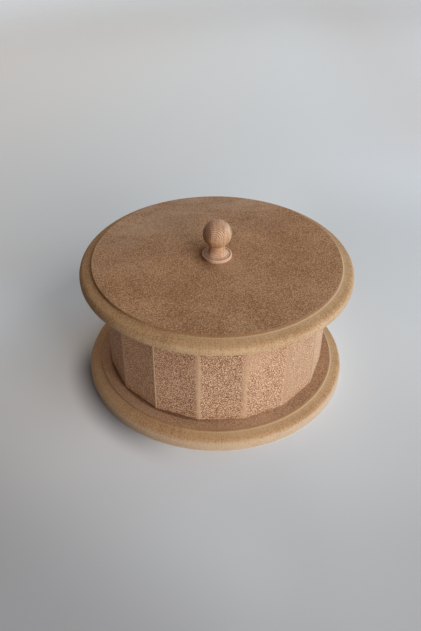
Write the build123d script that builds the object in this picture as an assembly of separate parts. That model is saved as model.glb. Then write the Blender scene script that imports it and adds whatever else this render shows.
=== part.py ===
from build123d import *
import math
import os

# Round keepsake box of raw fibreboard, in millimetres, +Z up, with its origin at the
# middle of the underside. A ring of mitred staves is glued on a moulded base disc. The
# lid is a second disc cut with the same moulding cutter. It lifts straight off, is
# located by a plate glued under it, and carries a turned knob held by one screw.

# Base disc and lid disc
disc_diameter = 250.0
base_thickness = 15.0
lid_thickness = 12.0

# Moulding round the upper edge of both discs: an upright shoulder, a straight slope that
# falls at this angle in degrees, and a round of this radius that turns it down to the
# upright rim in short straight cuts
moulding_width = 11.5
moulding_shoulder = 2.3
moulding_slope = 15.0
moulding_round = 6.0
moulding_cuts = 5

# Wall: the staves stand side by side, mitred where they meet, and both discs overhang
# its corners by the same amount
stave_count = 16
disc_overhang = 21.0
wall_height = 95.0
stave_thickness = 9.0
sanded_corner_width = 3.0

# Locating plate under the lid, with as many sides as the wall
plate_thickness = 6.0
plate_clearance = 1.0
plate_lead_in = 1.5

# Turned knob. Its ball and its hollow cove are turned in short straight cuts
knob_height = 36.5
knob_ball_diameter = 26.0
knob_neck_diameter = 14.6
knob_foot_diameter = 27.2
knob_foot_thickness = 3.0
knob_foot_chamfer = 1.1
knob_cove_diameter = 22.6
knob_cove_height = 6.0
knob_ball_cuts = 10
knob_cove_cuts = 3
knob_centre_mark_diameter = 2.4
knob_centre_mark_depth = 0.6

# Countersunk screw, driven up through the plate and the lid into the knob
screw_length = 30.0
screw_diameter = 4.0
screw_core_diameter = 2.8
screw_head_diameter = 8.0
screw_head_sink = 0.3
screw_point_length = 3.0
screw_recess_width = 1.1
screw_recess_span = 4.4
screw_recess_depth = 1.6
screw_hole_clearance = 0.25
screw_seat_clearance = 0.05
pilot_hole_clearance = 0.05
pilot_hole_spare_depth = 2.0

# Overrun of every cutter past the face that it starts from
cutter_overrun = 1.0

# Heights that the pieces share
wall_foot = base_thickness
wall_top = wall_foot + wall_height
lid_face = wall_top + lid_thickness
plate_underside = wall_top - plate_thickness
screw_head_face = plate_underside + screw_head_sink

# Plan of the wall
wall_corner_diameter = disc_diameter - 2 * disc_overhang
half_turn_per_stave = 180.0 / stave_count
outer_apothem = wall_corner_diameter / 2 * math.cos(math.radians(half_turn_per_stave))
inner_apothem = outer_apothem - stave_thickness


def turned(outline):
    """Closed outline in the XZ plane, turned once round the Z axis."""
    return revolve(make_face(Plane.XZ * outline), Axis.Z)


def straight_cuts(centre, radius, start_angle, end_angle, cuts):
    """Points on an arc, from one angle to another, where straight cuts meet."""
    points = []
    for cut in range(cuts + 1):
        angle = start_angle + (end_angle - start_angle) * cut / cuts
        points.append((centre[0] + radius * math.cos(angle), centre[1] + radius * math.sin(angle)))
    return points


def half_side(apothem):
    """Half the side of the wall's polygon at the given apothem."""
    return apothem * math.tan(math.radians(half_turn_per_stave))


def polygon_prism(apothem, height):
    """Prism with the wall's number of sides, one of them facing the front."""
    corner_radius = apothem / math.cos(math.radians(half_turn_per_stave))
    plan = RegularPolygon(corner_radius, stave_count, rotation=half_turn_per_stave)
    return extrude(plan, height)


def moulded_disc(thickness):
    """Disc with the moulded upper edge, standing on z = 0."""
    fall = math.radians(moulding_slope)
    rim = disc_diameter / 2
    face_rim = rim - moulding_width
    shoulder_foot = thickness - moulding_shoulder
    turn_in = rim - moulding_round * (1 - math.sin(fall))
    slope_foot = shoulder_foot - (turn_in - face_rim) * math.tan(fall)
    round_centre = (rim - moulding_round, slope_foot - moulding_round * math.cos(fall))
    round_end = math.pi / 2 - fall
    rounded = straight_cuts(round_centre, moulding_round, 0, round_end, moulding_cuts)
    outline = Polyline(
        (0, 0),
        (rim, 0),
        *rounded,
        (face_rim, shoulder_foot),
        (face_rim, thickness),
        (0, thickness),
        close=True,
    )
    return turned(outline)


def base_plate():
    """Base disc, flat underneath."""
    return moulded_disc(base_thickness)


def wall_stave(number):
    """One mitred stave. Number 1 faces the front, and they count round anticlockwise."""
    corner_angle = math.radians(half_turn_per_stave)
    outer_half = half_side(outer_apothem)
    inner_half = half_side(inner_apothem)
    sanded_back = sanded_corner_width / 2 / math.cos(corner_angle)
    sanded_radius = wall_corner_diameter / 2 - sanded_back * math.sin(corner_angle)
    mitre_x = sanded_radius * math.sin(corner_angle)
    mitre_y = sanded_radius * math.cos(corner_angle)
    plan = Polyline(
        (-inner_half, -inner_apothem),
        (-mitre_x, -mitre_y),
        (-(outer_half - sanded_back), -outer_apothem),
        (outer_half - sanded_back, -outer_apothem),
        (mitre_x, -mitre_y),
        (inner_half, -inner_apothem),
        close=True,
    )
    stave = extrude(make_face(plan), wall_height)
    turn = 2 * half_turn_per_stave * (number - 1)
    return Pos(0, 0, wall_foot) * Rot(0, 0, turn) * stave


def screw_hole(length):
    """Cutter for the clearance hole of the knob screw, running past both faces."""
    radius = screw_diameter / 2 + screw_hole_clearance
    cutter = Cylinder(radius, length + 2 * cutter_overrun, align=(Align.CENTER, Align.CENTER, Align.MIN))
    return Pos(0, 0, -cutter_overrun) * cutter


def lid_plate():
    """Lid disc, drilled for the knob screw."""
    return Pos(0, 0, wall_top) * (moulded_disc(lid_thickness) - screw_hole(lid_thickness))


def countersink():
    """Cutter for the screw head's seat, from the underside of the locating plate."""
    head_radius = screw_head_diameter / 2 + screw_seat_clearance
    shank_radius = screw_diameter / 2
    outline = Polyline(
        (0, -cutter_overrun),
        (head_radius, -cutter_overrun),
        (head_radius, screw_head_sink),
        (shank_radius, screw_head_sink + head_radius - shank_radius),
        (0, screw_head_sink + head_radius - shank_radius),
        close=True,
    )
    return turned(outline)


def locating_plate():
    """Plate glued under the lid. It drops inside the wall and keeps the lid from turning."""
    plate = polygon_prism(inner_apothem - plate_clearance, plate_thickness)
    underside_edges = plate.faces().sort_by(Axis.Z)[0].edges()
    plate = chamfer(underside_edges, plate_lead_in)
    plate = plate - screw_hole(plate_thickness) - countersink()
    return Pos(0, 0, plate_underside) * plate


def knob():
    """Turned knob: a foot with a chamfered edge, a hollow cove, a neck and a ball."""
    ball_radius = knob_ball_diameter / 2
    ball_centre = knob_height - ball_radius
    neck_radius = knob_neck_diameter / 2
    neck_foot = knob_foot_thickness + knob_cove_height
    foot_radius = knob_foot_diameter / 2
    mark_radius = knob_centre_mark_diameter / 2
    pilot_radius = screw_core_diameter / 2 + pilot_hole_clearance
    pilot_depth = screw_head_face + screw_length - lid_face + pilot_hole_spare_depth

    # The cove is hollowed round a centre level with the foot of the neck
    cove_reach = knob_cove_diameter / 2 - neck_radius
    cove_radius = (cove_reach**2 + knob_cove_height**2) / (2 * cove_reach)
    cove_centre = (neck_radius + cove_radius, neck_foot)
    cove_end = math.pi + math.asin(knob_cove_height / cove_radius)
    cove = straight_cuts(cove_centre, cove_radius, cove_end, math.pi, knob_cove_cuts)

    ball_start = -math.acos(neck_radius / ball_radius)
    ball_end = math.acos(mark_radius / ball_radius)
    ball = straight_cuts((0, ball_centre), ball_radius, ball_start, ball_end, knob_ball_cuts)

    foot = [
        (pilot_radius, 0),
        (foot_radius, 0),
        (foot_radius, knob_foot_thickness - knob_foot_chamfer),
        (foot_radius - knob_foot_chamfer, knob_foot_thickness),
    ]
    centre_mark = (0, ball[-1][1] - knob_centre_mark_depth)
    pilot_hole = [(0, pilot_depth), (pilot_radius, pilot_depth)]
    outline = Polyline(*foot, *cove, *ball, centre_mark, *pilot_hole, close=True)
    return Pos(0, 0, lid_face) * turned(outline)


def knob_screw():
    """Countersunk wood screw, drawn at its core diameter where it bites into the knob."""
    head_radius = screw_head_diameter / 2
    shank_radius = screw_diameter / 2
    core_radius = screw_core_diameter / 2
    shank_end = lid_face - screw_head_face
    outline = Polyline(
        (0, 0),
        (head_radius, 0),
        (shank_radius, head_radius - shank_radius),
        (shank_radius, shank_end),
        (core_radius, shank_end),
        (core_radius, screw_length - screw_point_length),
        (0, screw_length),
        close=True,
    )
    screw = turned(outline)
    recess = Box(screw_recess_span, screw_recess_width, 2 * screw_recess_depth)
    for quarter in range(2):
        screw -= Rot(0, 0, quarter * 90) * recess
    return Pos(0, 0, screw_head_face) * screw


def write(node, solid):
    """One file for one piece, named after it."""
    solid.label = node
    export_step(solid, os.path.join("parts", node + ".step"))


os.makedirs("parts", exist_ok=True)
write("base_plate", base_plate())
for number in range(1, stave_count + 1):
    write("wall_stave_{:02d}".format(number), wall_stave(number))
write("lid_plate", lid_plate())
write("locating_plate", locating_plate())
write("knob", knob())
write("knob_screw", knob_screw())
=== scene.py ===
import math

import bpy
from bpy.props import FloatProperty, FloatVectorProperty, PointerProperty
from mathutils import Matrix, Vector, noise


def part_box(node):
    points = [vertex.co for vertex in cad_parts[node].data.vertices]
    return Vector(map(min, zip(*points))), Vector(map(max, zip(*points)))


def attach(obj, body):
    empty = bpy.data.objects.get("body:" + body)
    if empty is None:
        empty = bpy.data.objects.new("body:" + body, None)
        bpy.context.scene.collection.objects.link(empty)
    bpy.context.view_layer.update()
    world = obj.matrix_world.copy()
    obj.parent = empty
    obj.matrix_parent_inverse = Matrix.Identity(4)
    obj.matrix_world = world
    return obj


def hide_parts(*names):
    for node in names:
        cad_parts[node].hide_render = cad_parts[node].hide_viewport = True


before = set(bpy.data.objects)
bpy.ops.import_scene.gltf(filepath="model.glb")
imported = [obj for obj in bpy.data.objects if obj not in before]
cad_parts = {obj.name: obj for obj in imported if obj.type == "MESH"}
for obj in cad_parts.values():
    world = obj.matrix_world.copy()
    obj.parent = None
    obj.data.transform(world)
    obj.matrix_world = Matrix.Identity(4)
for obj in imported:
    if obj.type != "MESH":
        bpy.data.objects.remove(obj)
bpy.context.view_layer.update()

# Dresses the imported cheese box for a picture: moulded discs with eased arrises, mitred
# staves with sanded corners, a turned knob, the locating plate and its screw. Lengths
# are in metres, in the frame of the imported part, and angles are measured from the front
# round towards the right.

bl_info = {
    "name": "Fibreboard cheese box",
    "version": (1, 0, 0),
    "blender": (4, 5, 0),
    "location": "3D View > Sidebar > Cheese box",
    "description": "Makes the pieces of a round fibreboard box around its packed frame",
    "category": "Add Mesh",
}

STAVES = 16
HALF_STAVE = math.pi / STAVES

BASE_LOW, BASE_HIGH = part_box("base_plate")
LID_LOW, LID_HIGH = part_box("lid_plate")
STAVE_LOW, STAVE_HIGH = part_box("wall_stave_01")
PLATE_LOW, PLATE_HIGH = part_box("locating_plate")
KNOB_LOW, KNOB_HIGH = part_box("knob")

# Staves, by their number, that were rubbed smoother all over than the rest, and by how much
WORN_STAVES = {2: 0.15, 3: 0.42, 4: 0.5, 5: 0.4, 14: 0.2, 15: 0.25}

# Staves counted from the front one, which is 0, towards the right: one of darker board, and the middle one
# of those on the left that get painted warm shade
DARKER_STAVE = 2.0
WARM_SHADE_STAVES = -4.0

# The corner that was hardly sanded. Corner 0 lies between the first stave and the second.
# Corners narrower than CRISPEST get a painted highlight along their edge, which shows as a pale line
CRISP_CORNER = STAVES - 2
CRISPEST = 0.0016

# Marks that the cutter left round a disc, and the distances from one growth ring to the next
# and from one turning mark to the next in the knob's finish
CUTTER_MARKS = 326.0
RING_SPACING = 0.00172
TURNING_SPACING = 0.0015

# Mean of the noise, and the turn that keeps its grid off the faces of the staves
GRAIN_MIDDLE = 0.5
ASKEW = (0.62, 0.47, 0.35)

# A ring of points keeps the face beside a rounded corner flat. It stands this many times as
# far from the corner as the rounding reaches, and a face shorter than HOLD_ROOM times that
# reach has none
HOLD = 2.4
HOLD_ROOM = 5.0

# Lengths below this count as nothing, and edges bent by more than this angle are sharp
NEAR = 1e-6
SHARP = math.radians(40)

# Straight facets round a disc, round the knob, and along each side of the locating plate
DISC_FACETS = 360
KNOB_FACETS = 128
SIDE_FACETS = 12

# Roundings of the knob's foot: its lower edge, its upper edge, and the lip and the bed of its
# groove. Then the hollow left by the lathe centre: shares of its radius, each with its depth
FOOT_ROUNDINGS = (0.0005, 0.0007, 0.0003, 0.0002)
CENTRE_HOLLOW = ((0.55, 0.00035), (0.2, 0.0006), (0.0, 0.00062))

# Half the side of the floor, which is gone beyond the first distance from a point on it, and
# whole within the second
FLOOR_HALF = 6.0
FADE_POINT = (0.25, 0.25, 0.0)
FADE_REACH = (1.4, 0.9)

# Where the lamps aim, how far from there they hang, and the colour of the room's faint light
LAMP_AIM = Vector((0.0, 0.0, 0.07))
LAMP_DISTANCE = 1.7
ROOM_TINT = (1.0, 0.8, 0.62, 1.0)

# Where the camera stands, and how far it is turned right, tipped down and rolled, in degrees
CAMERA_PLACE = (-0.03081, -0.53348, 0.4687)
CAMERA_TURN = (2.731, 37.871, 0.485)


def paint(red, green, blue):
    """Linear colour of a paint chip given in steps of 0 to 255."""
    steps = []
    for step in (red, green, blue):
        share = step / 255
        steps.append(share / 12.92 if share <= 0.04045 else ((share + 0.055) / 1.055) ** 2.4)
    return tuple(steps)


def length(label, description, default):
    """A length that a user can change."""
    return FloatProperty(name=label, description=description, default=default, min=0.0,
                         precision=5, unit="LENGTH", subtype="DISTANCE")


def tint(label, description, default):
    """A colour that a user can change."""
    return FloatVectorProperty(name=label, description=description, default=default,
                               size=3, min=0.0, max=1.0, subtype="COLOR")


class CHEESEBOX_PG_sizes(bpy.types.PropertyGroup):
    """Lengths of the mouldings, the wall and the knob"""

    disc_radius: length("Disc radius", "Radius of the base and the lid",
                        min(*BASE_HIGH.xy, *-BASE_LOW.xy, *LID_HIGH.xy, *-LID_LOW.xy))
    moulding_width: length("Moulding width", "From the rim to the shoulder", 0.0115)
    moulding_shoulder: length("Shoulder", "Upright step round the flat face", 0.0023)
    moulding_hollow: length("Shoulder hollow", "Hollow at the foot of the shoulder", 0.0014)
    moulding_slope: FloatProperty(name="Moulding slope", description="Fall from the shoulder to the round",
                                  default=math.radians(15), min=0.0, max=1.2, subtype="ANGLE")
    moulding_round: length("Moulding round", "Radius that turns the slope down to the rim", 0.006)
    arris: length("Arris", "Rounding where two cut faces meet", 0.0004)
    screw_hole_radius: length("Screw hole radius", "Hole through the lid", 0.00225)
    sanded_corner: length("Sanded corner", "Width sanded off where two staves meet", 0.0032)
    crisp_corner: length("Crisp corner", "The same at the corner sanded least", 0.0011)
    plate_lead_in: length("Plate lead-in", "Chamfer under the locating plate", 0.0015)
    countersink_radius: length("Countersink radius", "Seat of the screw head", 0.00405)
    countersink_sink: length("Countersink sink", "Straight part of that seat", 0.0003)
    ball_radius: length("Ball radius", "Radius of the knob's ball", 0.013)
    neck_radius: length("Neck radius", "Narrowest part of the knob", 0.0073)
    foot_thickness: length("Foot thickness", "Height of the knob's foot", 0.003)
    foot_groove: length("Foot groove", "Depth of the groove round the foot", 0.0005)
    cove_radius: length("Cove radius", "Radius where the cove meets the foot", 0.0113)
    cove_height: length("Cove height", "From the foot to the neck", 0.006)
    centre_mark: length("Centre mark", "Radius of the mark left by the lathe centre", 0.0012)
    tool_marks: length("Tool marks", "Distance between turning marks on the knob", 0.0011)
    tool_mark_depth: length("Tool mark depth", "Depth of those marks", 0.00003)


class CHEESEBOX_PG_finishes(bpy.types.PropertyGroup):
    """Colours of the board, the knob and the screw"""

    face_light: tint("Board face, light", "Pale fibres on the flat faces", paint(197, 153, 114))
    face_dark: tint("Board face, dark", "Dark fibres on the flat faces", paint(130, 89, 59))
    cut_light: tint("Moulding, light", "Pale fibres of the cut slope", paint(190, 153, 113))
    cut_dark: tint("Moulding, dark", "Dark fibres of the cut slope", paint(156, 118, 83))
    rim_light: tint("Rim, light", "Pale fibres of the upright edges", paint(199, 170, 134))
    rim_dark: tint("Rim, dark", "Dark fibres of the upright edges", paint(172, 137, 101))
    # Paler board of the base's rim, and a painted highlight on the right of both rims
    rim_pale_and_highlight: tint("Rim, pale", "Paler board of the upright edges on the right", paint(192, 178, 162))
    # Painted shade: darkens the wall's foot, the hollows and the left side of the box, where shade falls
    painted_shade: tint("Dirt", "Dirt in hollows and corners", paint(104, 66, 42))
    wall_light: tint("Wall, light", "Pale ground of the staves", paint(206, 170, 138))
    wall_dark: tint("Wall, dark", "Dark flecks of the staves", paint(120, 78, 52))
    wall_pale: tint("Wall, pale", "Palest fibres between the flecks", paint(235, 200, 168))
    # Painted warm shade on the staves of the left side
    wall_painted_warm_shade: tint("Wall, warm", "Redder board of the staves on the left", paint(150, 84, 36))
    # Dust on the flat faces, also used as painted sheen at the back of the lid and as painted light on the
    # base
    dust_and_painted_light: tint("Dust", "Dust rubbed into the flat faces", paint(186, 160, 138))
    sanded: tint("Sanded corner", "Board sanded smooth", paint(192, 157, 126))
    knob_light: tint("Knob, light", "Pale early wood", paint(214, 178, 144))
    knob_dark: tint("Knob, dark", "Darker late wood", paint(158, 112, 82))
    # Painted highlight on the edge of the knob's foot
    knob_painted_highlight: tint("Knob, pale", "Pale edge of the knob's foot", paint(232, 192, 164))
    # Painted shade on the knob's left side, in its groove and on the left of its foot
    knob_painted_shade: tint("Knob, heart", "Dark stripe of heartwood", paint(118, 76, 54))
    steel: tint("Steel", "Bright steel of the screw", paint(196, 196, 200))
    steel_dull: tint("Steel, dull", "Duller skin on the screw", paint(132, 128, 124))


class CHEESEBOX_PG_stage(bpy.types.PropertyGroup):
    """Floor, lamps and camera"""

    # The floor is painted with its light and shade: the dark tone is painted shade in front and on the
    # right, the far tone painted light far behind, and the cool tone painted fill light in the box's shade
    # on the left
    floor_light: tint("Floor, light", "Floor behind the box", paint(234, 235, 235))
    floor_dark: tint("Floor, dark", "Floor in front of the box", paint(172, 171, 171))
    floor_far: tint("Floor, far", "Floor far behind the box", paint(252, 253, 253))
    floor_painted_fill: tint("Floor, cool", "Floor in the shade on the left", paint(238, 248, 255))
    backdrop: tint("Backdrop", "What shows beyond the floor", paint(205, 206, 208))
    window_power: FloatProperty(name="Window lamp", description="Main soft lamp on the right",
                                default=21.5, min=0.0, unit="POWER")
    front_power: FloatProperty(name="Front lamp", description="Low warm lamp on the front right",
                               default=12.4, min=0.0, unit="POWER")
    side_power: FloatProperty(name="Side lamp", description="Low soft lamp on the back right",
                              default=9.7, min=0.0, unit="POWER")
    back_power: FloatProperty(name="Back lamp", description="High soft lamp behind the box",
                              default=5.0, min=0.0, unit="POWER")
    left_power: FloatProperty(name="Left lamp", description="Faint warm lamp on the back left",
                              default=3.8, min=0.0, unit="POWER")
    room_light: FloatProperty(name="Room light", description="Even light from all round",
                              default=0.012, min=0.0, subtype="FACTOR")
    lens: FloatProperty(name="Lens", description="Focal length of the camera",
                        default=39.76, min=1.0, subtype="DISTANCE_CAMERA")


# Shader nodes

class Bench:
    """Lays down and wires the shader nodes of one material."""

    def __init__(self, name):
        self.material = bpy.data.materials.new(name)
        self.material.use_nodes = True
        self.tree = self.material.node_tree
        self.shader = self.tree.nodes["Principled BSDF"]
        self.coords = self.add("TexCoord").outputs["Object"]
        self.x, self.y, self.z = self.add_fed("SeparateXYZ", self.coords).outputs

    def add(self, kind, **settings):
        """New node of a kind, with its settings."""
        node = self.tree.nodes.new("ShaderNode" + kind)
        for key, value in settings.items():
            setattr(node, key, value)
        return node

    def feed(self, socket, value):
        """Links a socket to another node's output, or gives it a fixed value."""
        if isinstance(value, bpy.types.NodeSocket):
            self.tree.links.new(value, socket)
        elif hasattr(value, "__len__") and len(value) == 3 and socket.type == "RGBA":
            socket.default_value = (*value, 1.0)
        else:
            socket.default_value = value

    def add_fed(self, kind, *values, **settings):
        """New node whose inputs take the values in order."""
        node = self.add(kind, **settings)
        for socket, value in zip(node.inputs, values):
            self.feed(socket, value)
        return node

    def math(self, operation, *values):
        """Arithmetic on numbers."""
        return self.add_fed("Math", *values, operation=operation).outputs[0]

    def vector(self, operation, *values):
        """Arithmetic on vectors."""
        return self.add_fed("VectorMath", *values, operation=operation).outputs[0]

    def join(self, x, y, z):
        """Vector from three numbers."""
        return self.add_fed("CombineXYZ", x, y, z).outputs[0]

    def times(self, first, *others):
        """Product of two numbers or more."""
        for other in others:
            first = self.math("MULTIPLY", first, other)
        return first

    def vary(self, tone, grain, amount):
        """Tone that a grain lifts and lowers about its own middle."""
        return self.math("MULTIPLY_ADD", self.math("SUBTRACT", grain, GRAIN_MIDDLE), amount, tone)

    def apart(self, value, middle):
        """How far a number is from a middle, on either side."""
        return self.math("ABSOLUTE", self.math("SUBTRACT", value, middle))

    def distance(self, point):
        """Distance from a point."""
        return self.add_fed("VectorMath", self.coords, point, operation="DISTANCE").outputs["Value"]

    def radius(self):
        """Distance from the axis of the box."""
        squares = self.math("MULTIPLY_ADD", self.x, self.x, self.math("MULTIPLY", self.y, self.y))
        return self.math("SQRT", squares)

    def angle(self):
        """Angle from the front towards the right."""
        return self.math("ARCTAN2", self.x, self.math("MULTIPLY", self.y, -1.0))

    def attribute(self, name):
        """Number that the mesh carries at each point."""
        return self.add("Attribute", attribute_name=name).outputs["Fac"]

    def grain(self, scale, detail=2.0, roughness=0.5, distortion=0.0, coords=None):
        """Noise, with its scale in grains per metre, or 1 where the coordinates are stretched."""
        node = self.add("TexNoise")
        self.feed(node.inputs["Vector"], coords or self.coords)
        for key, value in (("Scale", scale), ("Detail", detail), ("Roughness", roughness),
                           ("Distortion", distortion)):
            self.feed(node.inputs[key], value)
        return node.outputs[0]

    def stretched(self, x, y, z):
        """Coordinates for a grain with its own number of grains per metre each way."""
        return self.vector("MULTIPLY", self.coords, (x, y, z))

    def askew(self, vector):
        """Turns the coordinates, so that no face of a piece lies along the noise's own grid."""
        node = self.add("VectorRotate", rotation_type="EULER_XYZ")
        self.feed(node.inputs["Vector"], vector)
        node.inputs["Rotation"].default_value = ASKEW
        return node.outputs[0]

    def step(self, value, start, end, least=0.0, most=1.0):
        """Goes smoothly from least at the start to most at the end, which may be the lower one."""
        return self.add_fed("MapRange", value, start, end, least, most,
                            interpolation_type="SMOOTHSTEP").outputs[0]

    def blend(self, share, first, second):
        """Colour between two, with the share of the second."""
        node = self.add("Mix", data_type="RGBA")
        self.feed(node.inputs[0], share)
        self.feed(node.inputs[6], first)
        self.feed(node.inputs[7], second)
        return node.outputs[2]

    def relief(self, height, distance):
        """Raises the skin by a height times a distance."""
        node = self.add("Bump")
        self.feed(node.inputs["Height"], height)
        self.feed(node.inputs["Distance"], distance)
        self.feed(node.inputs["Strength"], 1.0)
        self.feed(self.shader.inputs["Normal"], node.outputs[0])

    def finish(self, colour, roughness, **fixed):
        """The material, with its colour, its roughness and what else is fixed."""
        self.feed(self.shader.inputs["Base Color"], colour)
        self.feed(self.shader.inputs["Roughness"], roughness)
        for key, value in fixed.items():
            self.shader.inputs[key.replace("_", " ")].default_value = value
        return self.material


def board_face_material(finishes):
    """Flat face of the board: close brown fibres, dust rubbed in, a few pores, with painted light and
    shade on the base and round the knob.
    """
    bench = Bench("board_face")
    x, y, z, radius = bench.x, bench.y, bench.z, bench.radius()
    wall_face, knob_edge = -STAVE_LOW.y, KNOB_HIGH.x
    on_base = bench.step(z, BASE_HIGH.z + 0.005, BASE_HIGH.z + 0.001)
    on_lid = bench.step(z, LID_HIGH.z - 0.001, LID_HIGH.z - 0.0005)

    mottle = bench.grain(26.0, detail=4.0, roughness=0.6)
    worms = bench.grain(900.0, detail=1.5, roughness=0.6, distortion=0.6)
    fibres = bench.grain(1250.0, detail=1.0, roughness=0.7, distortion=0.4)
    tone = bench.vary(0.64, mottle, 1.0)
    tone = bench.vary(tone, fibres, 2.6)
    tone = bench.math("SUBTRACT", tone, bench.step(worms, 0.46, 0.6, 0.0, 0.6))
    colour = bench.blend(bench.step(tone, 0.0, 1.0), finishes.face_dark, finishes.face_light)

    # Dust lies in smears, stronger towards the back left, where it also stands for painted sheen
    back = bench.math("MULTIPLY_ADD", x, -0.45, bench.math("MULTIPLY", y, 0.9))
    smear = bench.grain(1.0, detail=4.0, roughness=0.65, distortion=0.8,
                        coords=bench.stretched(24.0, 46.0, 20.0))
    dust_and_painted_light = bench.times(bench.step(back, 0.0, 0.12, 0.08, 0.62), bench.step(smear, 0.36, 0.68, 0.25, 1.0))
    colour = bench.blend(dust_and_painted_light, colour, finishes.dust_and_painted_light)
    pores = bench.step(bench.grain(420.0, detail=1.0, roughness=0.4), 0.7, 0.76, 0.0, 0.8)
    colour = bench.blend(pores, colour, finishes.wall_dark)

    # On the base, painted light lightens most of it and the left most, where the lid's shade falls,
    # painted shade darkens the right, and a painted contact shadow runs along the wall's foot on the left
    dust_and_painted_light = bench.times(on_base, bench.step(x, -0.03, -0.1, 0.2, 0.38), bench.step(x, 0.1, 0.06, 0.2, 1.0))
    colour = bench.blend(dust_and_painted_light, colour, finishes.dust_and_painted_light)
    # Painted shade on the right of the base
    dark = bench.times(on_base, bench.step(x, 0.03, 0.09, 0.0, 0.16))
    colour = bench.blend(dark, colour, finishes.wall_dark)
    # Painted contact shadow along the wall's foot on the left
    painted_shade = bench.times(on_base, bench.step(x, 0.02, -0.05),
                       bench.step(radius, wall_face + 0.0042, wall_face + 0.0015, 0.0, 0.7))
    colour = bench.blend(painted_shade, colour, finishes.painted_shade)

    # On the lid, a painted reflection of the knob lightens the face in front of it, and a painted contact
    # shadow darkens it on the knob's left
    painted_knob_reflection = bench.step(bench.distance((0.011, -0.017, LID_HIGH.z)), 0.02, 0.004, 0.0, 0.4)
    colour = bench.blend(painted_knob_reflection, colour, finishes.face_light)
    painted_shade = bench.times(bench.step(radius, knob_edge + 0.0124, knob_edge),
                       bench.step(x, 0.0, -0.011, 0.0, 0.62), on_lid)
    colour = bench.blend(painted_shade, colour, finishes.painted_shade)

    bench.relief(fibres, 0.00006)
    return bench.finish(colour, bench.step(fibres, 0.3, 0.7, 0.85, 0.72), Specular_IOR_Level=0.12)


def cut_edge_material(sizes, finishes, pale=0.0, hollow=None):
    """Cut moulding: golden board core, with faint upright marks left by the cutter.

    A pale disc has a lighter rim and painted light on the left of its slope. Painted light also brightens
    the front and the right; painted shade darkens the left of the rim and the shoulder, and with a hollow,
    at a (radius, height), the left of that hollow and the far right of the rim."""
    bench = Bench("board_cut_edge")
    z, radius, angle = bench.z, bench.radius(), bench.angle()
    across = bench.math("DIVIDE", bench.x, radius)
    rim_edge = BASE_HIGH.x
    face_edge = rim_edge - sizes.moulding_width
    on_rim = bench.step(radius, rim_edge - 0.0024, rim_edge - 0.0001)
    heading = bench.vector("NORMALIZE", bench.join(bench.x, bench.y, 0.0))
    climb = bench.math("ADD", radius, z)

    def round_the_rim(turns, lift):
        """Coordinates that close on themselves at the back of the disc."""
        around = bench.vector("MULTIPLY", heading, (turns, turns, 0.0))
        return bench.vector("ADD", around, bench.join(0.4, 0.6, bench.math("MULTIPLY", climb, lift)))

    layers = bench.grain(1.0, detail=3.0, roughness=0.6, coords=round_the_rim(9.0, 330.0))
    mottle = bench.grain(48.0, detail=3.0, roughness=0.55)
    fibres = bench.grain(900.0, detail=1.5, roughness=0.7, distortion=0.4)
    streaks = bench.grain(1.0, detail=2.0, roughness=0.6, coords=round_the_rim(100.0, 90.0))
    patches = bench.step(bench.grain(15.0, detail=1.0), 0.42, 0.62)
    marks = bench.times(bench.math("SINE", bench.times(angle, CUTTER_MARKS)), patches)
    tone = bench.vary(0.5, layers, 0.5)
    tone = bench.vary(tone, mottle, 0.7)
    tone = bench.vary(tone, fibres, 3.3)
    tone = bench.vary(tone, streaks, 1.2)
    tone = bench.math("MULTIPLY_ADD", marks, 0.13, tone)
    # Painted light: the moulding is brighter towards the front
    front = bench.step(bench.math("ABSOLUTE", angle), 0.5, 0.1, 0.0, 0.38)
    tone = bench.step(bench.math("ADD", tone, front), 0.0, 1.05)

    # The slope has a painted highlight near the shoulder on the right, and a pale disc's slope has painted
    # light all along the left
    slope = bench.blend(tone, finishes.cut_dark, finishes.cut_light)
    painted_highlight = bench.times(bench.step(radius, face_edge + 0.008, face_edge + 0.002, 0.0, 0.28),
                       bench.step(across, -0.39, 0.48))
    slope = bench.blend(painted_highlight, slope, finishes.rim_light)
    slope = bench.blend(bench.step(across, -0.56, -0.89, 0.0, pale), slope, finishes.rim_light)

    # The upright rim has painted shade on the left and a painted highlight on the right, over a pale
    # disc's paler board
    rim = bench.blend(tone, finishes.rim_dark, finishes.rim_light)
    rim = bench.blend(bench.step(across, -0.6, -0.89, 0.0, 0.4 - pale), rim, finishes.painted_shade)
    rim = bench.blend(bench.step(across, 0.2, 0.93, pale, pale + 0.2), rim, finishes.rim_pale_and_highlight)
    colour = bench.blend(on_rim, slope, rim)

    # A painted highlight runs along the foot of the shoulder, mostly on the right, and painted shade
    # darkens the shoulder itself on the left
    foot = bench.step(bench.apart(radius, face_edge + 0.0012), 0.0009, 0.0004)
    foot = bench.times(foot, bench.step(across, -0.64, 0.84, 0.0, 0.8))
    colour = bench.blend(foot, colour, finishes.rim_light)
    shoulder = bench.times(bench.step(radius, face_edge + 0.0007, face_edge + 0.0003, 0.0, 0.6),
                           bench.step(across, -0.64, 0.0))
    colour = bench.blend(shoulder, colour, finishes.painted_shade)
    if hollow:
        # Painted shade on the far right of the rim, and on the left of the hollow
        dark = bench.times(bench.step(across, 0.75, 0.96, 0.0, 0.16), on_rim)
        colour = bench.blend(dark, colour, finishes.cut_dark)
        away = bench.math("ADD", bench.apart(radius, hollow[0]), bench.apart(z, hollow[1]))
        painted_shade = bench.times(bench.step(away, 0.0015, 0.0003, 0.0, 0.6), bench.step(across, -0.68, -0.84))
        colour = bench.blend(painted_shade, colour, finishes.painted_shade)

    bench.relief(bench.math("MULTIPLY_ADD", marks, 0.35, fibres), 0.00005)
    return bench.finish(colour, bench.step(fibres, 0.3, 0.7, 0.85, 0.7), Specular_IOR_Level=0.1)


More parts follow.
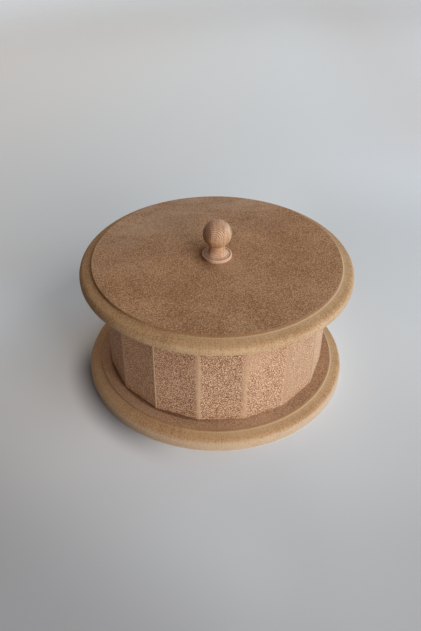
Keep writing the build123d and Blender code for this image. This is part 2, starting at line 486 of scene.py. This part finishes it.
def wall_material(finishes):
    """Stave: pale ground full of coarse dark flecks, smoother where it was sanded, with painted light and
    shade at the corners, painted warm shade on the left and a painted shadow at the foot.
    """
    bench = Bench("stave_board")
    across = bench.math("DIVIDE", bench.x, bench.radius())
    stave, sanded = bench.attribute("stave"), bench.attribute("sanded")

    # Each stave is cut from its own place in the board
    shift = bench.join(bench.times(stave, 1.37), bench.times(stave, 0.73), 0.0)
    own = bench.askew(bench.vector("ADD", bench.coords, shift))
    flecks = bench.grain(1580.0, detail=0.0, distortion=0.4, coords=own)
    fine = bench.grain(1900.0, detail=1.0, roughness=0.7, coords=bench.vector("ADD", own, (3.1, 0.0, 0.0)))
    mottle = bench.grain(60.0, detail=3.0, roughness=0.6, coords=own)
    ground = bench.blend(bench.step(mottle, 0.3, 0.7, 0.0, 0.15), finishes.wall_light, finishes.face_light)
    colour = bench.blend(bench.step(fine, 0.44, 0.6, 0.0, 0.65), ground, finishes.wall_dark)
    colour = bench.blend(bench.step(flecks, 0.5, 0.55), colour, finishes.wall_dark)
    colour = bench.blend(bench.step(flecks, 0.47, 0.4), colour, finishes.wall_pale)

    # Sanding wears the flecks off with a ragged edge, and leaves a strip at each corner. The strips get a
    # painted highlight on the left of the box and painted shade on the right, and a crisp corner gets a
    # painted highlight all along it
    ragged = bench.vary(sanded, mottle, 1.4)
    ragged = bench.vary(ragged, flecks, 1.2)
    smooth = bench.times(bench.step(ragged, 0.0, 1.2), bench.step(sanded, 0.02, 0.3))
    colour = bench.blend(bench.times(smooth, 0.8), colour, finishes.sanded)
    strip = bench.step(sanded, 0.6, 1.0)
    light = bench.times(strip, bench.step(across, 0.15, -0.1, 0.0, 0.16))
    colour = bench.blend(light, colour, finishes.wall_pale)
    dark = bench.times(strip, bench.step(across, 0.1, 0.84, 0.0, 0.16))
    colour = bench.blend(dark, colour, finishes.wall_dark)
    colour = bench.blend(bench.step(sanded, 1.05, 1.3), colour, finishes.wall_pale)

    # One stave on the right is darker board, and those on the left get painted warm shade. A painted
    # contact shadow runs along the foot, strongest on the left
    third = bench.step(bench.apart(stave, DARKER_STAVE), 0.6, 0.4, 0.0, 0.15)
    colour = bench.blend(third, colour, finishes.wall_dark)
    painted_warm_shade = bench.step(bench.apart(stave, WARM_SHADE_STAVES), 2.6, 1.4, 0.0, 0.26)
    colour = bench.blend(painted_warm_shade, colour, finishes.wall_painted_warm_shade)
    painted_shade = bench.times(bench.step(bench.z, STAVE_LOW.z + 0.002, STAVE_LOW.z + 0.0006, 0.0, 0.75),
                       bench.step(across, 0.2, -0.48, 0.3, 1.0))
    colour = bench.blend(painted_shade, colour, finishes.painted_shade)

    rough = bench.times(flecks, bench.math("SUBTRACT", 1.0, smooth))
    bench.relief(rough, 0.00015)
    return bench.finish(colour, bench.step(flecks, 0.4, 0.7, 0.7, 0.85), Specular_IOR_Level=0.12)


def knob_material(finishes):
    """Turned wood: growth rings round a point on the ball, and upright streaks, with painted shade on the
    left and the top and a painted highlight on the foot.
    """
    bench = Bench("turned_wood")
    x, y, z, radius = bench.x, bench.y, bench.z, bench.radius()
    foot, foot_edge = KNOB_LOW.z, KNOB_HIGH.x
    bend = bench.grain(150.0, detail=2.0, roughness=0.5)

    # The rings show on the upper half round their middle, and fade out towards the right
    middle = Vector((-0.0030, -0.0125, KNOB_HIGH.z - 0.0106))
    reach = bench.math("MULTIPLY_ADD", bend, 0.0012, bench.distance(middle))
    rings = bench.math("SINE", bench.times(reach, 2 * math.pi / RING_SPACING))
    above = bench.math("MULTIPLY_ADD", z, 0.79, bench.math("MULTIPLY", y, 0.61))
    level = 0.79 * middle.z + 0.61 * middle.y
    rings = bench.times(rings, bench.step(above, level - 0.0012, level + 0.0012),
                        bench.step(x, 0.0078, 0.004, 0.1, 1.0), bench.step(reach, 0.0122, 0.01, 0.1, 1.0))

    streaks = bench.grain(1.0, detail=2.0, roughness=0.6, coords=bench.stretched(620.0, 50.0, 75.0))
    pores = bench.grain(1000.0, detail=2.0, roughness=0.7)
    turned = bench.times(bench.math("SINE", bench.times(z, 2 * math.pi / TURNING_SPACING)),
                         bench.step(z, foot + 0.0095, foot + 0.007, 0.0, 0.22))
    tone = bench.math("MULTIPLY_ADD", rings, 0.75, bench.math("ADD", turned, 0.55))
    tone = bench.vary(tone, streaks, bench.step(z, foot + 0.025, foot + 0.03, 1.3, 3.3))
    tone = bench.vary(tone, pores, 1.6)
    colour = bench.blend(bench.step(tone, -0.1, 1.1), finishes.knob_dark, finishes.knob_light)

    # Painted shade takes up the left, with a wavy edge like a stripe of heartwood, and painted shade
    # darkens the top
    edge = bench.math("MULTIPLY_ADD", bend, 0.005, x)
    edge = bench.math("MULTIPLY_ADD", streaks, 0.003, edge)
    painted_shade_left = bench.times(bench.step(edge, -0.0008, -0.0032),
                        bench.step(z, foot + 0.008, foot + 0.02, 0.5, 0.62))
    colour = bench.blend(painted_shade_left, colour, finishes.knob_painted_shade)
    colour = bench.blend(bench.step(z, foot + 0.0285, foot + 0.035, 0.0, 0.45), colour, finishes.knob_dark)

    # The foot has a painted highlight on its edge, and painted shade in its groove and on its left
    low = bench.step(z, foot + 0.0036, foot + 0.0028)
    edge = bench.times(low, bench.step(radius, foot_edge - 0.0014, foot_edge - 0.0005, 0.0, 0.4))
    colour = bench.blend(edge, colour, finishes.knob_painted_highlight)
    groove = bench.times(low, bench.step(bench.apart(radius, foot_edge - 0.0018), 0.001, 0.0003, 0.0, 0.6))
    left = bench.times(low, bench.step(x, -0.004, -0.012, 0.0, 0.62))
    colour = bench.blend(bench.math("MAXIMUM", groove, left), colour, finishes.knob_painted_shade)

    bench.relief(bench.math("MULTIPLY_ADD", rings, 0.1, pores), 0.00005)
    return bench.finish(colour, bench.step(pores, 0.3, 0.7, 0.65, 0.5), Specular_IOR_Level=0.3)


def steel_material(finishes):
    """Screw: steel turned bright, with fine rings and a duller skin."""
    bench = Bench("screw_steel")
    rings = bench.join(bench.times(bench.radius(), 9000.0), bench.angle(), bench.times(bench.z, 4000.0))
    lines = bench.grain(1.0, detail=2.0, coords=rings)
    stain = bench.step(bench.grain(900.0, detail=2.0), 0.35, 0.7, 0.0, 0.35)
    colour = bench.blend(stain, finishes.steel, finishes.steel_dull)
    bench.relief(lines, 0.00001)
    return bench.finish(colour, bench.step(lines, 0.3, 0.7, 0.28, 0.42), Metallic=1.0)


def floor_material(stage):
    """Seamless paper: pale grey, with painted shade towards the front left and painted light far behind,
    and lost in the backdrop far out.
    """
    bench = Bench("floor_paper")
    x, y = bench.x, bench.y
    # Painted light and shade: darker in front, lighter behind, and lighter still far behind
    near = bench.math("MULTIPLY_ADD", x, -0.12, y)
    colour = bench.blend(bench.step(near, -0.5, 0.02), stage.floor_dark, stage.floor_light)
    far = bench.math("MULTIPLY_ADD", x, -0.35, y)
    colour = bench.blend(bench.step(far, 0.3, 1.1), colour, stage.floor_far)

    # Fainter painted light and shade, each with its colour and the share that it takes: painted shade on
    # the right and the right front, a warm painted tint on the right back, painted shade in the front left
    # corner, painted fill light in the shade on the left, a faint painted shade further left, a painted
    # contact shadow under the base's left, and the paper's own tooth
    tooth = bench.grain(1400.0, detail=1.0)
    corner = bench.math("SUBTRACT", bench.times(x, -1.0), y)
    cool = bench.distance((-0.15, 0.07, 0.0))
    left = bench.distance((-0.19, -0.04, 0.0))
    under = bench.times(bench.step(bench.radius(), BASE_HIGH.x + 0.027, BASE_HIGH.x - 0.001, 0.0, 0.78),
                        bench.step(x, -0.03, -0.1), bench.step(y, 0.04, -0.02))
    right = bench.times(bench.step(x, 0.07, 0.18, 0.0, 0.32), bench.step(y, 0.45, 0.2))
    right_back = bench.times(bench.step(x, 0.18, 0.42, 0.0, 0.2), bench.step(y, 0.3, 0.6))
    right_front = bench.times(bench.step(x, 0.0, 0.07, 0.0, 0.12), bench.step(y, -0.14, -0.24))
    for share, tone in (
            (right, stage.floor_dark),
            (right_back, paint(215, 165, 135)),
            (right_front, paint(120, 116, 114)),
            (bench.step(corner, 0.2, 0.42, 0.0, 0.6), paint(150, 149, 152)),
            (bench.step(cool, 0.16, 0.02, 0.0, 0.85), stage.floor_painted_fill),
            (bench.step(left, 0.13, 0.02, 0.0, 0.13), paint(120, 118, 122)),
            (under, paint(90, 86, 88)),
            (bench.step(tooth, 0.3, 0.7, 0.0, 0.04), paint(160, 160, 164))):
        colour = bench.blend(share, colour, tone)

    bench.feed(bench.shader.inputs["Alpha"], bench.step(bench.distance(FADE_POINT), *FADE_REACH))
    bench.relief(tooth, 0.00004)
    return bench.finish(colour, bench.step(tooth, 0.3, 0.7, 0.85, 0.95))


# Outlines and meshes

def eased(corners, steps=3, closed=False):
    """Outline whose corners are rounded. Each corner is (radius, height, rounding)."""
    points = []
    count = len(corners)
    for index, (r, z, rounding) in enumerate(corners):
        here = Vector((r, z))
        if not rounding or (not closed and index in (0, count - 1)):
            points.append(here)
            continue
        before = Vector(corners[index - 1][:2]) - here
        after = Vector(corners[(index + 1) % count][:2]) - here
        half = before.angle(after) / 2
        reach = rounding / math.tan(half)
        inward = (before.normalized() + after.normalized()).normalized()
        centre = here + inward * rounding / math.sin(half)
        start = here + before.normalized() * reach
        end = here + after.normalized() * reach
        if before.length > HOLD_ROOM * reach:
            points.append(here + before.normalized() * HOLD * reach)
        for step in range(steps + 1):
            mixed = start.lerp(end, step / steps) - centre
            points.append(centre + mixed.normalized() * rounding)
        if after.length > HOLD_ROOM * reach:
            points.append(here + after.normalized() * HOLD * reach)
    return [(point.x, point.y) for point in points]


def turn(name, outline, segments, closed=False, shape=None):
    """Mesh turned from (radius, height) points, joined into a loop when closed."""
    vertices, rows = [], []
    for r, z in outline:
        if r < NEAR:
            rows.append([len(vertices)] * segments)
            vertices.append((0.0, 0.0, z))
            continue
        rows.append(list(range(len(vertices), len(vertices) + segments)))
        for segment in range(segments):
            angle = 2 * math.pi * segment / segments
            wide = shape(r, angle) if shape else r
            vertices.append((wide * math.sin(angle), -wide * math.cos(angle), z))
    if closed:
        rows.append(rows[0])
    faces = []
    for lower, upper in zip(rows, rows[1:]):
        for segment in range(segments):
            after = (segment + 1) % segments
            face = [lower[segment], lower[after], upper[after], upper[segment]]
            faces.append(list(dict.fromkeys(face)))
    return build(name, vertices, faces)


def build(name, vertices, faces):
    """Smooth mesh object, standing in the scene where its points say."""
    mesh = bpy.data.meshes.new(name)
    mesh.from_pydata(vertices, [], faces)
    mesh.validate()
    mesh.polygons.foreach_set("use_smooth", [True] * len(mesh.polygons))
    mesh.set_sharp_from_angle(angle=SHARP)
    mesh.update()
    piece = bpy.data.objects.new(name, mesh)
    bpy.context.scene.collection.objects.link(piece)
    return piece


def settle(piece, node, body, slot, *materials):
    """Gives a piece its finish, hides the imported node that it stands for, and hangs it on its body."""
    for material in materials:
        piece.data.materials.append(material)
    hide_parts(node)
    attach(piece, body)


def moulding(sizes, foot, top):
    """Corners of a disc's edge, from the underside up to the flat face."""
    rim = sizes.disc_radius
    face_rim = rim - sizes.moulding_width
    shoulder_foot = top - sizes.moulding_shoulder
    slope, bow = sizes.moulding_slope, sizes.moulding_round
    turn_in = rim - bow * (1 - math.sin(slope))
    round_foot = shoulder_foot - (turn_in - face_rim) * math.tan(slope) - bow * math.cos(slope)
    corners = [(rim, foot, sizes.arris)]
    steps = 14
    for step in range(steps + 1):
        angle = (math.pi / 2 - slope) * step / steps
        corners.append((rim - bow * (1 - math.cos(angle)), round_foot + bow * math.sin(angle), 0.0))
    corners.append((face_rim, shoulder_foot, sizes.moulding_hollow))
    corners.append((face_rim, top, sizes.arris / 1.5))
    return corners


def mark_cut_faces(piece, sizes, foot, top):
    """Gives the second material to everything that the cutter or the saw has reached."""
    face_rim = sizes.disc_radius - sizes.moulding_width
    for face in piece.data.polygons:
        centre = face.center
        upper = centre.z > top - NEAR and math.hypot(centre.x, centre.y) < face_rim
        lower = centre.z < foot + NEAR
        face.material_index = 0 if upper or lower else 1


class CHEESEBOX_OT_base_disc(bpy.types.Operator):
    """Make the base disc with its moulded edge"""

    bl_idname = "cheesebox.base_disc"
    bl_label = "Base disc"

    def execute(self, context):
        sizes, finishes = context.scene.cheesebox_sizes, context.scene.cheesebox_finishes
        foot, top = BASE_LOW.z, BASE_HIGH.z
        corners = [(0.0, foot, 0.0), *moulding(sizes, foot, top), (0.0, top, 0.0)]
        piece = turn("base_disc", eased(corners), DISC_FACETS)
        settle(piece, "base_plate", "box", "fibreboard",
               board_face_material(finishes), cut_edge_material(sizes, finishes, 0.35))
        mark_cut_faces(piece, sizes, foot, top)
        return {"FINISHED"}


class CHEESEBOX_OT_lid_disc(bpy.types.Operator):
    """Make the lid disc, with the hole for the knob's screw"""

    bl_idname = "cheesebox.lid_disc"
    bl_label = "Lid disc"

    def execute(self, context):
        sizes, finishes = context.scene.cheesebox_sizes, context.scene.cheesebox_finishes
        foot, top = LID_LOW.z, LID_HIGH.z
        hole = sizes.screw_hole_radius
        corners = [(hole, foot, 0.0), *moulding(sizes, foot, top), (hole, top, 0.0)]
        piece = turn("lid_disc", eased(corners), DISC_FACETS, closed=True)
        hollow = (sizes.disc_radius - sizes.moulding_width, top - sizes.moulding_shoulder)
        settle(piece, "lid_plate", "lid", "fibreboard",
               board_face_material(finishes), cut_edge_material(sizes, finishes, 0.0, hollow))
        mark_cut_faces(piece, sizes, foot, top)
        return {"FINISHED"}


def sanded_width(sizes, corner, z):
    """Width sanded off at a corner of the wall, which wanders a little with height."""
    corner = corner % STAVES
    if corner == CRISP_CORNER:
        return sizes.crisp_corner * (1 + 0.25 * noise.noise(Vector((0.5, 0.0, z * 60))))
    wander = noise.noise(Vector((corner * 7.3, 1.5, z * 32)))
    return sizes.sanded_corner * (1 + 0.12 * math.sin(corner * 2.4) + 0.4 * wander)


def stave_section(inset, widths):
    """Plan of a stave that faces the front, with how far each point was sanded."""
    outer = -STAVE_LOW.y - inset
    corner = outer / math.cos(HALF_STAVE)
    inner = -STAVE_HIGH.y
    steps = 3
    sides = []
    for width in widths:
        reach = width / 2 / math.cos(HALF_STAVE)
        # A crisp corner carries a share above 1, which the wall material turns into a painted highlight
        share = 1.6 if width < CRISPEST else 1.0
        bow = reach / math.tan(HALF_STAVE)
        centre = corner - bow / math.cos(HALF_STAVE)
        points = []
        for step in range(steps + 1):
            angle = HALF_STAVE * (1 - step / steps)
            x = centre * math.sin(HALF_STAVE) + bow * math.sin(angle)
            y = centre * math.cos(HALF_STAVE) + bow * math.cos(angle)
            points.append((x, -y, share))
        flat = outer * math.tan(HALF_STAVE) - reach
        for x, share in ((flat - 0.15 * width, 0.6), (flat - 0.6 * width, 0.0), (flat * 0.55, 0.0)):
            points.append((x, -outer, share))
        sides.append(points)
    inner_half = inner * math.tan(HALF_STAVE)
    left = [(-x, y, share) for x, y, share in sides[0]]
    right = list(reversed(sides[1]))
    return [(-inner_half, -inner, 0.0), *left, (0.0, -outer, 0.0), *right, (inner_half, -inner, 0.0)]


def rubbed(number, x, z):
    """How far a stave was rubbed smooth at a place on it, in patches of its own."""
    rub = noise.noise(Vector((x * 22 + number * 5.1, z * 26, 3.3)))
    return 0.8 * min(1.0, max(0.0, (rub - 0.22) * 3.2))


def make_stave(sizes, number, heights):
    """One stave, from a section at each height, which carries its number and its sanding."""
    vertices, shares = [], []
    for z, inset in heights:
        widths = [sanded_width(sizes, number - 2, z), sanded_width(sizes, number - 1, z)]
        for x, y, share in stave_section(inset, widths):
            vertices.append((x, y, z))
            shares.append(max(share, WORN_STAVES.get(number, 0.0), rubbed(number, x, z)))
    around = len(vertices) // len(heights)
    top_row = len(vertices) - around
    faces = [list(range(around - 1, -1, -1))]
    for low in range(0, top_row, around):
        high = low + around
        for column in range(around):
            after = (column + 1) % around
            faces.append([low + column, low + after, high + after, high + column])
    faces.append(list(range(top_row, len(vertices))))
    piece = build("stave_{:02d}".format(number), vertices, faces)
    from_front = number - 1 if number <= STAVES // 2 + 1 else number - 1 - STAVES
    for name, values in (("sanded", shares), ("stave", [float(from_front)] * len(vertices))):
        attribute = piece.data.attributes.new(name, "FLOAT", "POINT")
        attribute.data.foreach_set("value", values)
    piece.data.transform(Matrix.Rotation(2 * HALF_STAVE * (number - 1), 4, "Z"))
    return piece


class CHEESEBOX_OT_wall_staves(bpy.types.Operator):
    """Make the ring of mitred staves, with corners sanded after gluing"""

    bl_idname = "cheesebox.wall_staves"
    bl_label = "Wall staves"

    def execute(self, context):
        sizes, finishes = context.scene.cheesebox_sizes, context.scene.cheesebox_finishes
        material = wall_material(finishes)
        foot, top = STAVE_LOW.z, STAVE_HIGH.z
        arris = sizes.arris
        heights = [(foot, arris), (foot + 0.3 * arris, 0.3 * arris), (foot + arris, 0.0)]
        rows = 32
        for row in range(1, rows):
            heights.append((foot + arris + (top - foot - 2 * arris) * row / rows, 0.0))
        heights += [(top - arris, 0.0), (top - 0.3 * arris, 0.3 * arris), (top, arris)]
        for number in range(1, STAVES + 1):
            settle(make_stave(sizes, number, heights), "wall_stave_{:02d}".format(number),
                   "box", "fibreboard_wall", material)
        return {"FINISHED"}


class CHEESEBOX_OT_locating_plate(bpy.types.Operator):
    """Make the plate under the lid, countersunk for the knob's screw"""

    bl_idname = "cheesebox.locating_plate"
    bl_label = "Locating plate"

    def execute(self, context):
        sizes, finishes = context.scene.cheesebox_sizes, context.scene.cheesebox_finishes
        foot, top = PLATE_LOW.z, PLATE_HIGH.z
        across = -PLATE_LOW.y
        lead, seat, sink = sizes.plate_lead_in, sizes.countersink_radius, sizes.countersink_sink
        hole = sizes.screw_hole_radius
        arris = sizes.arris
        corners = [
            (seat, foot, arris / 3),
            (across - lead, foot, arris),
            (across, foot + lead, arris),
            (across, top, arris / 2),
            (hole, top, 0.0),
            (hole, foot + sink + seat - hole, 0.0),
            (seat, foot + sink, 0.0),
        ]

        def sided(radius, angle):
            """Radius out to the straight sides, or the round one of the countersink."""
            if radius < seat + arris:
                return radius
            off = (angle + HALF_STAVE) % (2 * HALF_STAVE) - HALF_STAVE
            return radius / math.cos(off)

        piece = turn("lid_locating_plate", eased(corners, closed=True), STAVES * SIDE_FACETS,
                     closed=True, shape=sided)
        settle(piece, "locating_plate", "lid", "fibreboard",
               board_face_material(finishes), cut_edge_material(sizes, finishes))
        for face in piece.data.polygons:
            face.material_index = 0 if abs(face.normal.z) > 0.99 else 1
        return {"FINISHED"}


class CHEESEBOX_OT_knob(bpy.types.Operator):
    """Make the turned knob: foot, cove, neck and ball"""

    bl_idname = "cheesebox.knob"
    bl_label = "Turned knob"

    def execute(self, context):
        sizes, finishes = context.scene.cheesebox_sizes, context.scene.cheesebox_finishes
        foot, top = KNOB_LOW.z, KNOB_HIGH.z
        foot_radius = min(KNOB_HIGH.x, KNOB_HIGH.y)
        ball, mark = sizes.ball_radius, sizes.centre_mark
        ball_centre = top - math.sqrt(ball**2 - mark**2)
        thick = sizes.foot_thickness
        groove = sizes.foot_groove
        lower, upper, lip, bed = FOOT_ROUNDINGS
        outline = [(0.0, foot)]
        outline += eased([(0.0, foot, 0.0), (foot_radius, foot, lower),
                          (foot_radius, foot + thick, upper),
                          (sizes.cove_radius + 1.8 * groove, foot + thick, lip),
                          (sizes.cove_radius + 0.7 * groove, foot + thick - groove, bed),
                          (sizes.cove_radius, foot + thick, 0.0)], steps=4)[1:-1]

        reach = sizes.cove_radius - sizes.neck_radius
        bow = (reach**2 + sizes.cove_height**2) / (2 * reach)
        sweep = math.asin(sizes.cove_height / bow)
        steps = 18
        for step in range(steps + 1):
            angle = sweep * (1 - step / steps)
            outline.append((sizes.neck_radius + bow * (1 - math.cos(angle)),
                            foot + thick + sizes.cove_height - bow * math.sin(angle)))
        start = -math.acos(sizes.neck_radius / ball)
        end = math.acos(mark / ball)
        steps = 110
        for step in range(1, steps + 1):
            angle = start + (end - start) * step / steps
            fade = math.sin(math.pi * step / steps) ** 0.5
            mark_phase = (angle - start) * ball / sizes.tool_marks * 2 * math.pi
            skin = ball - sizes.tool_mark_depth * (0.5 - 0.5 * math.cos(mark_phase)) * fade
            outline.append((skin * math.cos(angle), ball_centre + skin * math.sin(angle)))
        outline += [(mark * share, top - depth) for share, depth in CENTRE_HOLLOW]
        piece = turn("turned_knob", outline, KNOB_FACETS)
        settle(piece, "knob", "lid", "turned_wood", knob_material(finishes))
        return {"FINISHED"}


class CHEESEBOX_OT_knob_screw(bpy.types.Operator):
    """Finish the countersunk screw that holds the knob"""

    bl_idname = "cheesebox.knob_screw"
    bl_label = "Knob screw"

    def execute(self, context):
        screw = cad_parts["knob_screw"]
        screw.data.materials.clear()
        screw.data.materials.append(steel_material(context.scene.cheesebox_finishes))
        weld = screw.modifiers.new("weld", "WELD")
        weld.merge_threshold = 0.000005
        easing = screw.modifiers.new("arris", "BEVEL")
        easing.width = 0.00008
        easing.segments = 2
        easing.limit_method = "ANGLE"
        easing.angle_limit = SHARP
        return {"FINISHED"}


def lamp(name, azimuth, elevation, width, height):
    """Area lamp at an angle round the box, aimed at its middle."""
    light = bpy.data.lights.new(name, "AREA")
    light.shape = "RECTANGLE"
    light.size, light.size_y = width, height
    holder = bpy.data.objects.new(name, light)
    level = math.cos(elevation)
    back = Vector((math.sin(azimuth) * level, -math.cos(azimuth) * level, math.sin(elevation)))
    holder.location = LAMP_AIM + back * LAMP_DISTANCE
    holder.rotation_euler = (-back).to_track_quat("-Z", "Y").to_euler()
    holder.visible_camera = False
    bpy.context.scene.collection.objects.link(holder)
    return light


class CHEESEBOX_OT_stage(bpy.types.Operator):
    """Lay the floor, light it and set the camera"""

    bl_idname = "cheesebox.stage"
    bl_label = "Stage"

    def execute(self, context):
        scene, stage = context.scene, context.scene.cheesebox_stage
        half = FLOOR_HALF
        corners = [(-half, -half, 0.0), (half, -half, 0.0), (half, half, 0.0), (-half, half, 0.0)]
        floor = build("floor", corners, [(0, 1, 2, 3)])
        floor.data.materials.append(floor_material(stage))

        for name, azimuth, elevation, width, height, power, colour in (
                ("window", 51, 34, 1.5, 1.4, stage.window_power, (0.92, 1.02, 1.1)),
                ("front_lamp", 25, 14, 1.2, 0.8, stage.front_power, (1.18, 0.97, 0.83)),
                ("side_window", 115, 14, 1.3, 0.75, stage.side_power, (0.68, 0.98, 1.26)),
                ("back_lamp", 170, 42, 1.3, 1.3, stage.back_power, (1.08, 1.01, 0.9)),
                ("left_lamp", 225, 35, 1.2, 1.2, stage.left_power, (1.16, 0.94, 0.84))):
            light = lamp(name, math.radians(azimuth), math.radians(elevation), width, height)
            light.energy, light.color = power, colour

        self.room(scene, stage)
        scene.view_settings.view_transform = "Standard"
        self.camera(scene, stage)
        return {"FINISHED"}

    def room(self, scene, stage):
        """Faint even light from all round, with a plain backdrop for what shows beyond the floor."""
        world = bpy.data.worlds.new("studio")
        scene.world = world
        world.use_nodes = True
        tree = world.node_tree
        tree.nodes.clear()
        add, link = tree.nodes.new, tree.links.new
        room, shown = add("ShaderNodeBackground"), add("ShaderNodeBackground")
        room.inputs["Color"].default_value = ROOM_TINT
        room.inputs["Strength"].default_value = stage.room_light
        shown.inputs["Color"].default_value = (*stage.backdrop, 1.0)
        shown.inputs["Strength"].default_value = 1.0
        rays = add("ShaderNodeLightPath")
        seen = rays.outputs["Is Camera Ray"]
        for kind in ("Is Glossy Ray", "Is Transmission Ray"):
            either = add("ShaderNodeMath")
            either.operation = "MAXIMUM"
            link(seen, either.inputs[0])
            link(rays.outputs[kind], either.inputs[1])
            seen = either.outputs[0]
        chosen = add("ShaderNodeMixShader")
        for source, socket in zip((seen, room.outputs[0], shown.outputs[0]), chosen.inputs):
            link(source, socket)
        link(chosen.outputs[0], add("ShaderNodeOutputWorld").inputs["Surface"])

    def camera(self, scene, stage):
        """Camera that sees the box as the photo does."""
        yaw, pitch, roll = (math.radians(turn) for turn in CAMERA_TURN)
        level = math.cos(pitch)
        forward = Vector((math.sin(yaw) * level, math.cos(yaw) * level, -math.sin(pitch)))
        side = Vector((math.cos(yaw), -math.sin(yaw), 0.0))
        up = side.cross(forward)
        right = math.cos(roll) * side + math.sin(roll) * up
        top = -math.sin(roll) * side + math.cos(roll) * up
        data = bpy.data.cameras.new("camera")
        data.sensor_width = 36.0
        data.lens = stage.lens
        data.clip_start, data.clip_end = 0.01, 50.0
        camera = bpy.data.objects.new("camera", data)
        placed = Matrix((right, top, -forward)).transposed().to_4x4()
        placed.translation = Vector(CAMERA_PLACE)
        camera.matrix_world = placed
        scene.collection.objects.link(camera)
        scene.camera = camera


class CHEESEBOX_PT_panel(bpy.types.Panel):
    """Sizes, finishes and pieces of the cheese box"""

    bl_idname = "CHEESEBOX_PT_panel"
    bl_label = "Cheese box"
    bl_space_type = "VIEW_3D"
    bl_region_type = "UI"
    bl_category = "Cheese box"

    def draw(self, context):
        layout = self.layout
        for operator in OPERATORS:
            layout.operator(operator.bl_idname)
        for label, group in (("Sizes", context.scene.cheesebox_sizes),
                             ("Finishes", context.scene.cheesebox_finishes),
                             ("Stage", context.scene.cheesebox_stage)):
            column = layout.box().column()
            column.label(text=label)
            for key in group.__annotations__:
                column.prop(group, key)


GROUPS = (CHEESEBOX_PG_sizes, CHEESEBOX_PG_finishes, CHEESEBOX_PG_stage)
OPERATORS = (
    CHEESEBOX_OT_base_disc,
    CHEESEBOX_OT_wall_staves,
    CHEESEBOX_OT_lid_disc,
    CHEESEBOX_OT_locating_plate,
    CHEESEBOX_OT_knob,
    CHEESEBOX_OT_knob_screw,
    CHEESEBOX_OT_stage,
)


def register():
    for kind in (*GROUPS, *OPERATORS, CHEESEBOX_PT_panel):
        bpy.utils.register_class(kind)
    bpy.types.Scene.cheesebox_sizes = PointerProperty(type=CHEESEBOX_PG_sizes)
    bpy.types.Scene.cheesebox_finishes = PointerProperty(type=CHEESEBOX_PG_finishes)
    bpy.types.Scene.cheesebox_stage = PointerProperty(type=CHEESEBOX_PG_stage)


def unregister():
    del bpy.types.Scene.cheesebox_stage
    del bpy.types.Scene.cheesebox_finishes
    del bpy.types.Scene.cheesebox_sizes
    for kind in reversed((*GROUPS, *OPERATORS, CHEESEBOX_PT_panel)):
        bpy.utils.unregister_class(kind)


def main():
    register()
    bpy.ops.cheesebox.base_disc()
    bpy.ops.cheesebox.wall_staves()
    bpy.ops.cheesebox.lid_disc()
    bpy.ops.cheesebox.locating_plate()
    bpy.ops.cheesebox.knob()
    bpy.ops.cheesebox.knob_screw()
    bpy.ops.cheesebox.stage()


if __name__ == "__main__":
    main()
